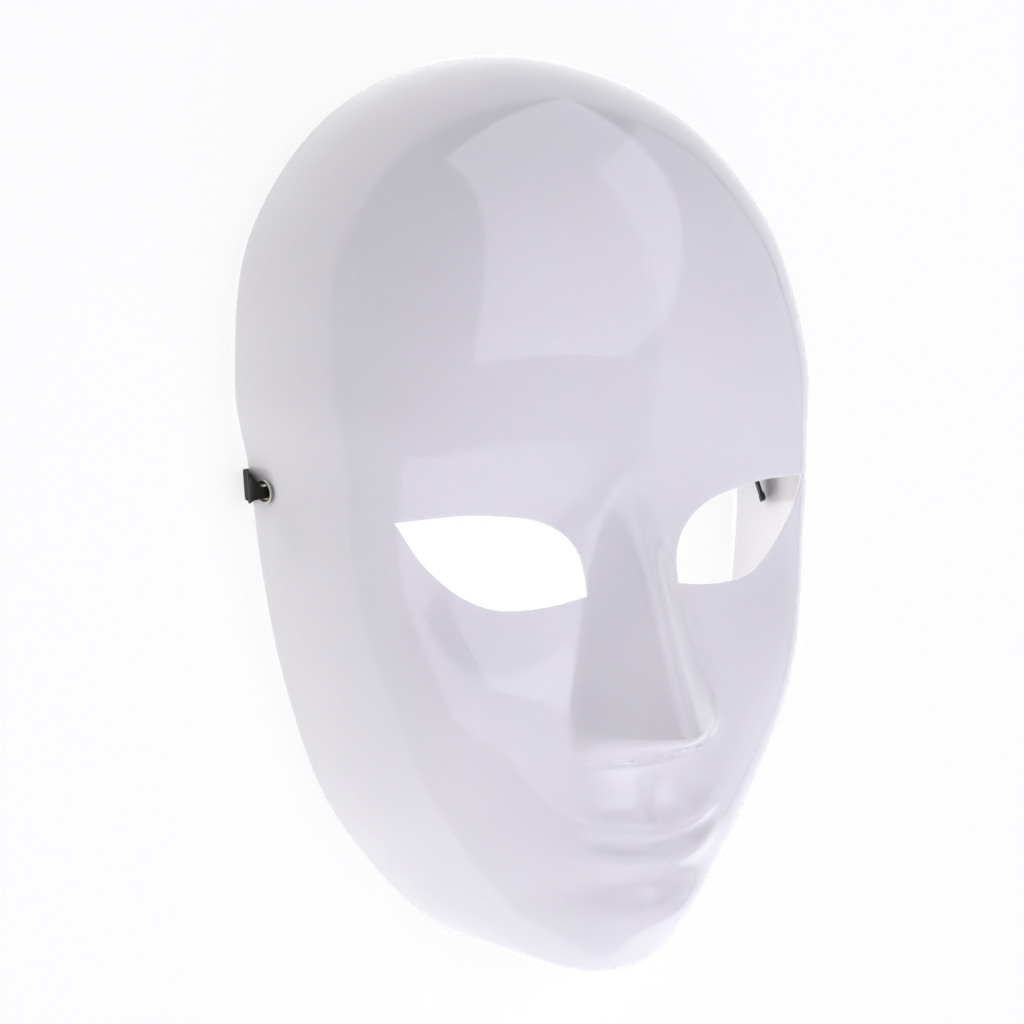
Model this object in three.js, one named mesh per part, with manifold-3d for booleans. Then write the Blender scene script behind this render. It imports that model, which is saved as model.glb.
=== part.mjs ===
// A full face mask of thin white plastic, formed over a mould and trimmed, with two eye holes, two
// nostril slits, and a flat elastic band threaded through a metal eyelet at each temple.
//
// Millimetres, +Z up. The mask lies face up on its rim: +Z points out of the face, +Y up to the
// forehead, +X to the wearer's left. The surface it lies on is z = 0, and the face is the same on
// both sides of the plane x = 0.
import * as THREE from 'three';
import { mergeVertices } from 'three/addons/utils/BufferGeometryUtils.js';
import Module from 'manifold-3d';

const wasm = await Module();
wasm.setup();

// The sheet, and the net of points that it is formed on. The net spreads from a hub on the nose, so
// that it is fine over the nose and mouth. Its rings crowd a little towards the hub, and its last
// ones crowd together where the side turns down.
const WALL = 1.0;
const HUB_Y = -59.5;
const RAYS = 74;
const FACE_RINGS = 15;
const RING_CROWDING = 1.2;
const EDGE_RINGS = 8;
const EDGE_START = 0.82;

// The trimmed rim on the left half, from the forehead down to the chin: x, y, z. It rests on the
// forehead and the jaws, lifts a little where the elastic passes under it, and more at the chin.
const RIM_MARKS = [
  [0, 122.5, 0],
  [46.5, 110, 0],
  [77, 79, 0.4],
  [86, 42, 1.4],
  [84, 17, 2.0],
  [82.3, -8, 1.8],
  [77.5, -36, 0.8],
  [68, -66, 0],
  [54.7, -88, 1.8],
  [40.5, -105.2, 8],
  [25.2, -115, 23],
  [12.5, -120.7, 32.8],
  [0, -122.5, 34.2],
];
const RIM_STEPS = 720;

// How squarely the face turns down into the side: a higher power makes a tighter turn.
const TURN_POWER = { top: 5.3, side: 11, chin: 5.9 };

// The height of the face along its middle, and how far it falls towards the sides, at 80 mm out: at
// the eyes, at the top of the forehead and at the mouth, with an even change between them
const FACE_HEIGHT = 51.7;
const FOREHEAD = { rise: 5.2, from: -2, to: 53 };
const CHIN_FALL = { drop: 2, from: -85, length: 35 };
const SIDE_FALL = {
  reach: 80,
  eye: 3.3,
  top: 10,
  topFrom: -7.5,
  topLength: 70,
  mouth: 2.7,
  mouthFrom: -27,
  mouthLength: 50,
};

// Rounded swellings (rise above 0) and hollows (rise below 0), the same on both sides
const EYE_HOLLOW = { rise: -4.0, x: 57, y: -12.5, width: 22, length: 16 };
const CHEEK = { rise: 0.8, x: 50, y: -45, width: 18, length: 12 };
const MOUTH = { rise: 4.8, x: 0, y: -83, width: 24, length: 17 };
const CHIN = { rise: 7.1, x: 0, y: -105, width: 17, length: 8.5 };
const CHIN_HOLLOW = { rise: -2.6, x: 0, y: -96.5, width: 18, length: 4 };
const SWELLINGS = [EYE_HOLLOW, CHEEK, MOUTH, CHIN, CHIN_HOLLOW];

// The nose: a rounded ridge that widens to the tip, with an underside that falls back to the lip.
// The bridge has its share of the height within its share of the length; the rest comes slowly.
// The flanks spread out by a power of the way down. A lower tipTurn turns more gently at the tip.
const NOSE = {
  bridgeY: 12,
  tipY: -59.5,
  tipRound: 1.5,
  tipTurn: 1.2,
  baseY: -66,
  height: 17.4,
  bridgeShare: 0.35,
  bridgeLength: 0.6,
  ridgeGrowth: 1.8,
  bridgeHalfWidth: 4,
  baseHalfWidth: 26.3,
  spread: 0.85,
  ridgeRadius: 0.26,
  footBlend: 0.08,
  sideRise: 4.5,
  baseRise: 1.5,
};
const WING = { rise: 1.2, x: 20.5, y: -56, width: 4.5, length: 6 };

// The closed lips, which fade out at their corners, and the hollow above them
const LIPS = {
  halfWidth: 24,
  fadeEnd: 1.15,
  fadeLength: 0.6,
  lineY: -87,
  cornerRise: 4.5,
  cornerLimit: 1.2,
  lineDepth: 1.3,
  lineWidth: 1.4,
  upperRise: 1.8,
  upperOffset: 4.8,
  upperWidth: 2.8,
  lowerRise: 2.2,
  lowerOffset: -3.8,
  lowerWidth: 3.0,
};
const PHILTRUM = { depth: 1.0, width: 3.2, topY: -72, blend: 5, gap: 3 };

// The eye hole on the left, as it is cut straight through: its corners and its two lids
const EYE_OUTER_CORNER = [69.6, 3.6];
const EYE_INNER_CORNER = [15.6, -20.4];
const EYE_UPPER_LID = [
  [60, 3.8],
  [50, 3.6],
  [40, 2.4],
  [31, 0.7],
  [24, -2.2],
  [19, -6.3],
  [16.4, -10.8],
  [15.5, -15.5],
];
const EYE_LOWER_LID = [[25, -21.7], [35, -22], [44, -20.8], [51.5, -17.4], [58, -12.3], [64.3, -5.4]];
const EYE_STEPS = 14;

// The nostril slit on the left
const SLIT = { x: 11.6, y: -63.7, length: 6.4, width: 0.8, tilt: 0.15 };

// The rolled eyelet, and where it goes through the side
const EYELET = {
  x: 83.6,
  y: 12.6,
  height: 8.7,
  bore: 2.05,
  barrel: 2.45,
  flange: 3.2,
  flangeThickness: 0.5,
  round: 0.25,
  sides: 20,
};
const GAP = 0.3;
const FLANGE_GAP = 0.42;
const SEAT_SEARCH = { from: 0.9, halvings: 30, step: 0.0005 };
const CUTTER_REACH = 4;

// The elastic: flat and woven, gathered where it goes through the eyelets, and sealed thicker at
// its ends. Its corners are taken off by these shares of its width and thickness.
const FLAT = { width: 8, thickness: 0.9 };
const GATHERED = { width: 3, thickness: 1.6 };
const SPREADING = { width: 5.5, thickness: 1.3 };
const SEALED = { width: 7.4, thickness: 1.5 };
const BAND_CORNER = { width: 0.04, thickness: 0.3 };

// The left half of the elastic, from its loose end inside the temple, out through the eyelet, down
// the side, in under the rim, and round to the middle of its slack loop under the forehead. Each
// mark is a point on its middle line, the way that its width lies there, and its section.
const TAIL_ACROSS = [0.61, -0.07, -0.79];
const LEVEL_ACROSS = [0, -1, 0];
const IN_BORE = [-3.6, -1.6, 1.7];
const BAND_LIE = 0.6;
const BAND_RIM_Y = 14.5;
const TAIL_MARKS = [
  [[77.6, -4.4, 17.7], TAIL_ACROSS, SEALED],
  [[77.5, -3.2, 17.3], TAIL_ACROSS, SEALED],
  [[77.4, -2.4, 17.0], TAIL_ACROSS, FLAT],
  [[77.2, 1.5, 15.7], TAIL_ACROSS, FLAT],
  [[77.1, 5.8, 13.6], TAIL_ACROSS, FLAT],
  [[77.9, 10.0, 10.9], [0.7, -0.6, -0.4], SPREADING],
];
const SIDE_MARKS = [
  [[86.4, 13.0, 7.6], LEVEL_ACROSS, SPREADING],
  [[86.4, 13.6, 5.7], LEVEL_ACROSS, FLAT],
  [[85.6, 14.2, 4.0], LEVEL_ACROSS, FLAT],
  [[85.2, BAND_RIM_Y, 2.4], LEVEL_ACROSS, FLAT],
  [[84.8, BAND_RIM_Y, 1.3], LEVEL_ACROSS, FLAT],
  [[84.0, BAND_RIM_Y, BAND_LIE], LEVEL_ACROSS, FLAT],
  [[81.5, BAND_RIM_Y, BAND_LIE], LEVEL_ACROSS, FLAT],
];
const LOOP_MARKS = [
  [[74, 15.5, BAND_LIE], [-0.2, -1, 0], FLAT],
  [[64, 21.5, BAND_LIE], [-0.7, -0.7, 0], FLAT],
  [[55.5, 35, BAND_LIE], [-0.9, -0.5, 0], FLAT],
  [[44.5, 52, BAND_LIE], [-0.75, -0.65, 0], FLAT],
  [[26, 66.5, BAND_LIE], [-0.45, -0.9, 0], FLAT],
  [[0, 72, BAND_LIE], LEVEL_ACROSS, FLAT],
];
const LOOP_STEPS = 3;

const PLASTIC = new THREE.MeshStandardMaterial({ color: '#eceaf1', roughness: 0.22, metalness: 0 });
const NICKEL = new THREE.MeshStandardMaterial({ color: '#b9b7b3', roughness: 0.28, metalness: 1 });
const ELASTIC = new THREE.MeshStandardMaterial({ color: '#17181a', roughness: 0.85, metalness: 0 });

// 0 below 0, 1 above 1, and an even blend between
function blend(value) {
  const t = THREE.MathUtils.clamp(value, 0, 1);
  return t * t * (3 - 2 * t);
}

function bell(distance, width) {
  return Math.exp(-0.5 * (distance / width) ** 2);
}

// The rim

function fullRim() {
  const left = RIM_MARKS.map(([x, y, z]) => new THREE.Vector3(x, y, z));
  const right = RIM_MARKS.slice(1, -1).reverse().map(([x, y, z]) => new THREE.Vector3(-x, y, z));
  const curve = new THREE.CatmullRomCurve3([...left, ...right], true, 'catmullrom', 0.5);
  curve.arcLengthDivisions = RIM_STEPS;
  return curve;
}

const RIM = fullRim();
const RIM_POINTS = RIM.getSpacedPoints(RIM_STEPS);
for (const point of RIM_POINTS) point.z = Math.max(point.z, 0);

const HALF_RIM = RIM_POINTS.slice(0, RIM_STEPS / 2 + 1);

// The bearing of a point from the middle of the face: 0 towards the forehead, pi towards the chin
function bearing(x, y) {
  return Math.atan2(Math.abs(x), y);
}

// The rim point that lies in the same direction from the middle of the face as (x, y)
function rimTowards(x, y) {
  const wanted = bearing(x, y);
  let index = 1;
  while (index < HALF_RIM.length - 1 && bearing(HALF_RIM[index].x, HALF_RIM[index].y) < wanted) {
    index += 1;
  }
  const [a, b] = [HALF_RIM[index - 1], HALF_RIM[index]];
  const before = wanted - bearing(a.x, a.y);
  const after = bearing(b.x, b.y) - wanted;
  const rim = a.clone().lerp(b, before / (before + after));
  if (x < 0) rim.x = -rim.x;
  return rim;
}

// The form of the face

function noseHeight(x, y) {
  const out = Math.abs(x);
  const sideways = Math.min(out / NOSE.baseHalfWidth, 1) ** 2;
  const edgeY = NOSE.tipY + NOSE.tipRound + NOSE.sideRise * sideways;
  const baseY = NOSE.baseY + NOSE.baseRise * sideways;
  const down = Math.max((NOSE.bridgeY - y) / (NOSE.bridgeY - NOSE.tipY), 0);
  const bridge = NOSE.bridgeShare * blend(down / NOSE.bridgeLength);
  const ridge = NOSE.height * (bridge + (1 - NOSE.bridgeShare) * down ** NOSE.ridgeGrowth);
  const turn = THREE.MathUtils.clamp((edgeY - y) / (edgeY - baseY), 0, 1);
  const k = NOSE.tipTurn;
  const underside = 1 - turn ** 2 * (k + (4 - 2 * k) * turn + (k - 3) * turn ** 2);
  const halfWidth = THREE.MathUtils.lerp(NOSE.bridgeHalfWidth, NOSE.baseHalfWidth, down ** NOSE.spread);
  const full = Math.hypot(1, NOSE.ridgeRadius);
  const flank = (full - Math.hypot(out / halfWidth, NOSE.ridgeRadius)) / (full - NOSE.ridgeRadius);
  const section = (flank + Math.hypot(flank, NOSE.footBlend)) / 2;
  const wing = WING.rise * bell(out - WING.x, WING.width) * bell(y - WING.y, WING.length);
  return (ridge * section + wing) * underside;
}

function lipHeight(x, y) {
  const out = Math.abs(x) / LIPS.halfWidth;
  const line = LIPS.lineY + LIPS.cornerRise * Math.min(out, LIPS.cornerLimit) ** 2;
  const fade = blend((LIPS.fadeEnd - out) / LIPS.fadeLength);
  const parting = -LIPS.lineDepth * bell(y - line, LIPS.lineWidth);
  const upper = LIPS.upperRise * bell(y - line - LIPS.upperOffset, LIPS.upperWidth);
  const lower = LIPS.lowerRise * bell(y - line - LIPS.lowerOffset, LIPS.lowerWidth);
  const above = blend((y - line - PHILTRUM.gap) / PHILTRUM.blend);
  const below = 1 - blend((y - PHILTRUM.topY) / PHILTRUM.blend);
  const philtrum = -PHILTRUM.depth * bell(x, PHILTRUM.width) * above * below;
  return fade * (parting + upper + lower) + philtrum;
}

function faceHeight(x, y) {
  let height = FACE_HEIGHT;
  height += FOREHEAD.rise * blend((y - FOREHEAD.from) / (FOREHEAD.to - FOREHEAD.from));
  height -= CHIN_FALL.drop * blend((CHIN_FALL.from - y) / CHIN_FALL.length);
  for (const { rise, x: centreX, y: centreY, width, length } of SWELLINGS) {
    height += rise * bell(Math.abs(x) - centreX, width) * bell(y - centreY, length);
  }
  const upwards = blend((y - SIDE_FALL.topFrom) / SIDE_FALL.topLength);
  const downwards = blend((SIDE_FALL.mouthFrom - y) / SIDE_FALL.mouthLength);
  const toTop = (SIDE_FALL.top - SIDE_FALL.eye) * upwards;
  const toMouth = (SIDE_FALL.mouth - SIDE_FALL.eye) * downwards;
  const fall = (SIDE_FALL.eye + toTop + toMouth) * (x / SIDE_FALL.reach) ** 2;
  return height + noseHeight(x, y) + lipHeight(x, y) - fall;
}

// The outer surface over (x, y): the face, turned down to the rim all round
function outerPoint(x, y) {
  const distance = Math.hypot(x, y);
  if (distance === 0) return new THREE.Vector3(0, 0, faceHeight(0, 0));
  const rim = rimTowards(x, y);
  const share = Math.min(distance / Math.hypot(rim.x, rim.y), 1);
  const upright = y / distance;
  const towardsTop = (TURN_POWER.top - TURN_POWER.side) * Math.max(upright, 0) ** 2;
  const towardsChin = (TURN_POWER.chin - TURN_POWER.side) * Math.max(-upright, 0) ** 2;
  const power = TURN_POWER.side + towardsTop + towardsChin;
  const risen = Math.sqrt(1 - share ** power);
  return new THREE.Vector3(x, y, rim.z + (faceHeight(x, y) - rim.z) * risen);
}

// Solids

function toSolid(geometry) {
  const plain = geometry.clone();
  plain.deleteAttribute('normal');
  plain.deleteAttribute('uv');
  const merged = mergeVertices(plain, 1e-4);
  return new wasm.Manifold(new wasm.Mesh({
    numProp: 3,
    vertProperties: new Float32Array(merged.attributes.position.array),
    triVerts: new Uint32Array(merged.index.array),
  }));
}

function toGeometry(solid) {
  const mesh = solid.getMesh();
  const geometry = new THREE.BufferGeometry();
  geometry.setAttribute('position', new THREE.BufferAttribute(mesh.vertProperties, 3));
  geometry.setIndex(new THREE.BufferAttribute(mesh.triVerts, 1));
  geometry.computeVertexNormals();
  return geometry;
}

// The share of the way from the hub to the rim at each ring
function ringShares() {
  const shares = [];
  for (let ring = 1; ring <= FACE_RINGS; ring += 1) {
    shares.push(EDGE_START * (ring / FACE_RINGS) ** RING_CROWDING);
  }
  for (let ring = 1; ring <= EDGE_RINGS; ring += 1) {
    const left = 1 - ring / EDGE_RINGS;
    shares.push(1 - (1 - EDGE_START) * left ** 2);
  }
  return shares;
}

// The sheet before it is cut: an outer and an inner skin, joined along the rim
function sheetGeometry() {
  const shares = ringShares();
  const edge = RIM.getSpacedPoints(RAYS).slice(0, RAYS);
  for (const point of edge) point.z = Math.max(point.z, 0);

  const outer = [outerPoint(0, HUB_Y)];
  for (const share of shares) {
    for (const rim of edge) {
      const x = rim.x * share;
      const y = HUB_Y + (rim.y - HUB_Y) * share;
      outer.push(share === 1 ? rim.clone() : outerPoint(x, y));
    }
  }

  const at = (ring, ray) => 1 + ring * RAYS + ray % RAYS;
  const faces = [];
  for (let ray = 0; ray < RAYS; ray += 1) {
    faces.push([0, at(0, ray + 1), at(0, ray)]);
    for (let ring = 0; ring < shares.length - 1; ring += 1) {
      const [a, b] = [at(ring, ray), at(ring, ray + 1)];
      const [c, d] = [at(ring + 1, ray), at(ring + 1, ray + 1)];
      faces.push([a, b, d], [a, d, c]);
    }
  }

  const skin = new THREE.BufferGeometry().setFromPoints(outer);
  skin.setIndex(faces.flat());
  skin.computeVertexNormals();
  const normals = skin.attributes.normal;
  const lastRing = at(shares.length - 1, 0);
  const inner = outer.map((point, index) => {
    const normal = new THREE.Vector3().fromBufferAttribute(normals, index);
    if (index >= lastRing) normal.setZ(0).normalize();
    return point.clone().addScaledVector(normal, -WALL);
  });

  const count = outer.length;
  const all = [...faces];
  for (const [a, b, c] of faces) all.push([count + a, count + c, count + b]);
  for (let ray = 0; ray < RAYS; ray += 1) {
    const [a, b] = [at(shares.length - 1, ray), at(shares.length - 1, ray + 1)];
    all.push([a, b, count + b], [a, count + b, count + a]);
  }
  const geometry = new THREE.BufferGeometry().setFromPoints([...outer, ...inner]);
  geometry.setIndex(all.flat());
  return geometry;
}

// The straight cutter for one eye hole: side is 1 on the left and -1 on the right
function eyeCutter(side) {
  const place = ([x, y]) => new THREE.Vector2(side * x, y);
  const lid = (start, marks, end) => new THREE.SplineCurve([start, ...marks, end].map(place));
  const upper = lid(EYE_OUTER_CORNER, EYE_UPPER_LID, EYE_INNER_CORNER);
  const lower = lid(EYE_INNER_CORNER, EYE_LOWER_LID, EYE_OUTER_CORNER);
  const points = [upper, lower].flatMap((curve) => curve.getSpacedPoints(EYE_STEPS).slice(0, -1));
  const shape = new THREE.Shape(points);
  return new THREE.ExtrudeGeometry(shape, { depth: 2 * FACE_HEIGHT, bevelEnabled: false, steps: 1 });
}

function slitCutter(side) {
  const { length, width, tilt } = SLIT;
  const straight = (length - width) / 2;
  const shape = new THREE.Shape();
  shape.absarc(straight, 0, width / 2, -Math.PI / 2, Math.PI / 2, false);
  shape.absarc(-straight, 0, width / 2, Math.PI / 2, 3 * Math.PI / 2, false);
  const options = { depth: 2 * FACE_HEIGHT, bevelEnabled: false, steps: 1, curveSegments: 3 };
  const cutter = new THREE.ExtrudeGeometry(shape, options);
  cutter.rotateZ(side * tilt);
  cutter.translate(side * SLIT.x, SLIT.y, 0);
  return cutter;
}

// The middle of the left eyelet on the outer surface, and the way that the surface faces there
function eyeletSeat() {
  const rim = rimTowards(EYELET.x, EYELET.y);
  const next = rimTowards(EYELET.x, EYELET.y + 1);
  const pointAt = (from, share) => outerPoint(from.x * share, from.y * share);
  let [high, low] = [SEAT_SEARCH.from, 1];
  for (let halving = 0; halving < SEAT_SEARCH.halvings; halving += 1) {
    const middle = (high + low) / 2;
    if (pointAt(rim, middle).z > EYELET.height) high = middle;
    else low = middle;
  }
  const point = pointAt(rim, low);
  const up = pointAt(rim, low - SEAT_SEARCH.step).sub(point);
  const along = pointAt(next, low).sub(point);
  return { point, normal: new THREE.Vector3().crossVectors(along, up).normalize() };
}

const SEAT = eyeletSeat();

// Turns something that was made round the +Y axis at the origin to stand at the eyelet's seat
function toSeat(geometry, side) {
  const normal = SEAT.normal.clone();
  const point = SEAT.point.clone();
  normal.x *= side;
  point.x *= side;
  const turn = new THREE.Quaternion().setFromUnitVectors(new THREE.Vector3(0, 1, 0), normal);
  return geometry.applyQuaternion(turn).translate(point.x, point.y, point.z);
}

function eyeletCutter(side) {
  const radius = EYELET.barrel + GAP;
  return toSeat(new THREE.CylinderGeometry(radius, radius, 2 * CUTTER_REACH, EYELET.sides), side);
}

// A rolled eyelet: a short barrel with a rounded flange on each side of the sheet
function eyeletGeometry(side) {
  const { bore, barrel, flange, flangeThickness, round } = EYELET;
  const outerFace = FLANGE_GAP;
  const innerFace = -WALL - FLANGE_GAP;
  const profile = [
    [bore, innerFace - flangeThickness + round],
    [bore + round, innerFace - flangeThickness],
    [flange - round, innerFace - flangeThickness],
    [flange, innerFace - flangeThickness + round],
    [flange, innerFace],
    [barrel, innerFace],
    [barrel, outerFace],
    [flange, outerFace],
    [flange, outerFace + flangeThickness - round],
    [flange - round, outerFace + flangeThickness],
    [bore + round, outerFace + flangeThickness],
    [bore, outerFace + flangeThickness - round],
    [bore, innerFace - flangeThickness + round],
  ];
  const points = profile.map(([radius, height]) => new THREE.Vector2(radius, height));
  return toSeat(new THREE.LatheGeometry(points, EYELET.sides), side);
}

// The elastic's stations: each has a point, and vectors as long as the width and the thickness
function halfBand() {
  const inBore = (distance) => SEAT.point.clone().addScaledVector(SEAT.normal, distance).toArray();
  const boreMarks = IN_BORE.map((distance) => [inBore(distance), LEVEL_ACROSS, GATHERED]);
  const marks = [...TAIL_MARKS, ...boreMarks, ...SIDE_MARKS, ...LOOP_MARKS];
  const line = new THREE.CatmullRomCurve3(marks.map(([at]) => new THREE.Vector3(...at)));
  const spans = marks.length - 1;
  const loopFrom = spans - LOOP_MARKS.length;
  const stations = [];
  for (let index = 0; index <= spans; index += 1) {
    const [, acrossHere, here] = marks[index];
    const [, acrossNext, next] = marks[Math.min(index + 1, spans)];
    const steps = index >= loopFrom && index < spans ? LOOP_STEPS : 1;
    for (let step = 0; step < steps; step += 1) {
      const t = step / steps;
      const place = (index + t) / spans;
      const tangent = line.getTangent(place);
      const across = new THREE.Vector3(...acrossHere).lerp(new THREE.Vector3(...acrossNext), t);
      const through = new THREE.Vector3().crossVectors(tangent, across).normalize();
      across.crossVectors(through, tangent).normalize();
      across.multiplyScalar(THREE.MathUtils.lerp(here.width, next.width, t));
      through.multiplyScalar(THREE.MathUtils.lerp(here.thickness, next.thickness, t));
      stations.push({ point: line.getPoint(place), across, through });
    }
  }
  return stations;
}

// A route that keeps its stations as they are, with the width and thickness at each of them
class BandRoute extends THREE.Curve {
  constructor(stations) {
    super();
    this.stations = stations;
  }

  getSpacedPoints() {
    return this.stations.map(({ point }) => point);
  }

  computeFrenetFrames() {
    return {
      tangents: this.stations.map(({ across, through }) => across.clone().cross(through).normalize()),
      normals: this.stations.map(({ across }) => across),
      binormals: this.stations.map(({ through }) => through),
    };
  }
}

function bandGeometry() {
  const left = halfBand();
  const flip = (vector) => new THREE.Vector3(-vector.x, vector.y, vector.z);
  const right = left.slice(0, -1).reverse().map(({ point, across, through }) => (
    { point: flip(point), across: flip(across), through: flip(through) }
  ));
  const stations = [...left, ...right];
  const corner = BAND_CORNER;
  const section = new THREE.Shape([
    [0.5 - corner.width, -0.5],
    [0.5, -0.5 + corner.thickness],
    [0.5, 0.5 - corner.thickness],
    [0.5 - corner.width, 0.5],
    [-0.5 + corner.width, 0.5],
    [-0.5, 0.5 - corner.thickness],
    [-0.5, -0.5 + corner.thickness],
    [-0.5 + corner.width, -0.5],
  ].map(([x, y]) => new THREE.Vector2(x, y)));
  const options = { steps: stations.length - 1, extrudePath: new BandRoute(stations) };
  return new THREE.ExtrudeGeometry(section, options);
}

// The pieces

const LEFT = 1;
const RIGHT = -1;

function shellGeometry() {
  let shell = toSolid(sheetGeometry());
  for (const side of [LEFT, RIGHT]) {
    for (const cutter of [eyeCutter(side), slitCutter(side), eyeletCutter(side)]) {
      shell = shell.subtract(toSolid(cutter));
    }
  }
  return toGeometry(shell);
}

const mask = new THREE.Group();

function addPiece(name, geometry, material) {
  const mesh = new THREE.Mesh(geometry, material);
  mesh.name = name;
  mask.add(mesh);
}

addPiece('mask_shell', shellGeometry(), PLASTIC);
addPiece('eyelet_right', eyeletGeometry(RIGHT), NICKEL);
addPiece('eyelet_left', eyeletGeometry(LEFT), NICKEL);
addPiece('elastic_band', bandGeometry(), ELASTIC);

export default mask;
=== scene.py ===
"""A full face mask of thin glossy white plastic, with metal eyelets and a flat black elastic band.

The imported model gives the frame. This script adds the formed sheet, the rolled eyelets and the woven
band in their places, with their finishes, and a plain stage with soft lights.
"""
import math
from collections import namedtuple

import bmesh
import bpy
import numpy as np
from bpy.props import FloatProperty, FloatVectorProperty, IntProperty, PointerProperty
from mathutils import Matrix, Vector


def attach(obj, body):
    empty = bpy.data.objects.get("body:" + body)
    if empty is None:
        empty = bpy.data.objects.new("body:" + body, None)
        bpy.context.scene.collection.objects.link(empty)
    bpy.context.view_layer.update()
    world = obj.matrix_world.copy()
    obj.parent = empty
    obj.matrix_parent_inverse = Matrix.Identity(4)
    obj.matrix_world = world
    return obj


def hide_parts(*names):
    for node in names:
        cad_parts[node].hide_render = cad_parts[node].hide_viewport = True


bl_info = {
    "name": "Full Face Mask",
    "version": (1, 0, 0),
    "blender": (4, 5, 0),
    "location": "3D View > Sidebar > Mask",
    "description": "Builds a formed plastic face mask with eyelets and an elastic band",
    "category": "Object",
}

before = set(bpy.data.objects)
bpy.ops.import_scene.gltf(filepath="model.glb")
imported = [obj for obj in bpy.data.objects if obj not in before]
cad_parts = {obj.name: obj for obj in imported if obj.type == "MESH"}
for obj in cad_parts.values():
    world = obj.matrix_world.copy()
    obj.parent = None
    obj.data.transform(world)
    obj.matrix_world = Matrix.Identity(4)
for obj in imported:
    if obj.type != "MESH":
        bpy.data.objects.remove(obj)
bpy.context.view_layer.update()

MM = 0.001
# How far apart points may be and still be taken as one, and what is too small to divide by
SAME_PLACE, TINY = 1e-7, 1e-12

# The camera, in millimetres: it stands off to the wearer's right, 52 degrees above the table.
CAMERA_TARGET = (-23.2, 1.9, 32.0)
CAMERA_AWAY = 900.0
CAMERA_SWING = math.radians(38.0)
CAMERA_LIFT = math.radians(3.88)
CAMERA_ROLL = math.radians(3.94)
CAMERA_NEAR, CAMERA_FAR = 10.0, 50000.0
SENSOR_WIDTH = 36.0
FOCAL_PIXELS, PHOTO_PIXELS = 3465.0, 1024.0

# The form of the sheet, in millimetres, as in the part's source: x to the wearer's left, y up the
# face, z out of it. The hub of the net is on the nose.
HUB_Y = -59.5
RIM_MARKS = [
    (0, 122.5, 0), (46.5, 110, 0), (77, 79, 0.4), (86, 42, 1.4), (84, 17, 2.0),
    (82.3, -8, 1.8), (77.5, -36, 0.8), (68, -66, 0), (54.7, -88, 1.8),
    (40.5, -105.2, 8), (25.2, -115, 23), (12.5, -120.7, 32.8), (0, -122.5, 34.2),
]
TURN_TOP, TURN_SIDE, TURN_CHIN = 5.3, 11.0, 5.9
FACE_HEIGHT = 51.7
FOREHEAD_RISE, FOREHEAD_FROM, FOREHEAD_TO = 5.2, -2.0, 53.0
CHIN_DROP, CHIN_DROP_FROM, CHIN_DROP_LENGTH = 2.0, -85.0, 35.0
SIDE_REACH = 80.0
SIDE_FALL_EYE = 3.3
SIDE_FALL_TOP, SIDE_TOP_FROM, SIDE_TOP_LENGTH = 10.0, -7.5, 70.0
SIDE_FALL_MOUTH, SIDE_MOUTH_FROM, SIDE_MOUTH_LENGTH = 2.7, -27.0, 50.0

# Swellings and hollows: rise, x and y of the middle, width and length
EYE_HOLLOW = (-4.0, 57.0, -12.5, 22.0, 16.0)
CHEEK = (0.8, 50.0, -45.0, 18.0, 12.0)
MOUTH = (4.8, 0.0, -83.0, 24.0, 17.0)
CHIN = (7.1, 0.0, -105.0, 17.0, 8.5)
CHIN_HOLLOW = (-2.6, 0.0, -96.5, 18.0, 4.0)

NOSE_BRIDGE_Y, NOSE_TIP_Y, NOSE_BASE_Y = 12.0, -59.5, -66.0
NOSE_TIP_ROUND, NOSE_TURN = 1.5, 1.2
NOSE_HEIGHT = 17.4
NOSE_BRIDGE_SHARE, NOSE_BRIDGE_LENGTH, NOSE_GROWTH = 0.35, 0.6, 1.8
NOSE_BRIDGE_HALF, NOSE_BASE_HALF, NOSE_SPREAD = 4.0, 26.3, 0.85
NOSE_RIDGE, NOSE_FOOT = 0.26, 0.08
NOSE_SIDE_RISE, NOSE_BASE_RISE = 4.5, 1.5
WING = (1.2, 20.5, -56.0, 4.5, 6.0)

LIP_HALF, LIP_FADE_END, LIP_FADE_LENGTH = 24.0, 1.15, 0.6
LIP_LINE_Y, LIP_CORNER_RISE, LIP_CORNER_LIMIT = -87.0, 4.5, 1.2
LIP_PARTING, LIP_UPPER, LIP_LOWER = (-1.3, 0.0, 1.4), (1.8, 4.8, 2.8), (2.2, -3.8, 3.0)
PHILTRUM_DEPTH, PHILTRUM_WIDTH, PHILTRUM_TOP = 1.0, 3.2, -72.0
PHILTRUM_BLEND, PHILTRUM_GAP = 5.0, 3.0

# The eye hole on the left, seen straight on, from its outer corner
EYE_OUTER, EYE_INNER = (69.6, 3.6), (15.6, -20.4)
EYE_UPPER_LID = [
    (60, 3.8), (50, 3.6), (40, 2.4), (31, 0.7), (24, -2.2), (19, -6.3), (16.4, -10.8), (15.5, -15.5),
]
EYE_LOWER_LID = [(25, -21.7), (35, -22), (44, -20.8), (51.5, -17.4), (58, -12.3), (64.3, -5.4)]
SLIT_X, SLIT_Y, SLIT_TILT = 11.6, -63.7, 0.15

# The net of the sheet, by shares of the way from the hub to the rim: where the side begins, and
# where and how widely the rings crowd across the lips. They crowd towards the hub too.
SIDE_START, LIPS_SHARE, LIPS_BREADTH = 0.82, 0.515, 0.03
LIPS_CROWDING, HUB_CROWDING = 3.0, 0.375
CROWDING_STEPS = 500

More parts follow.
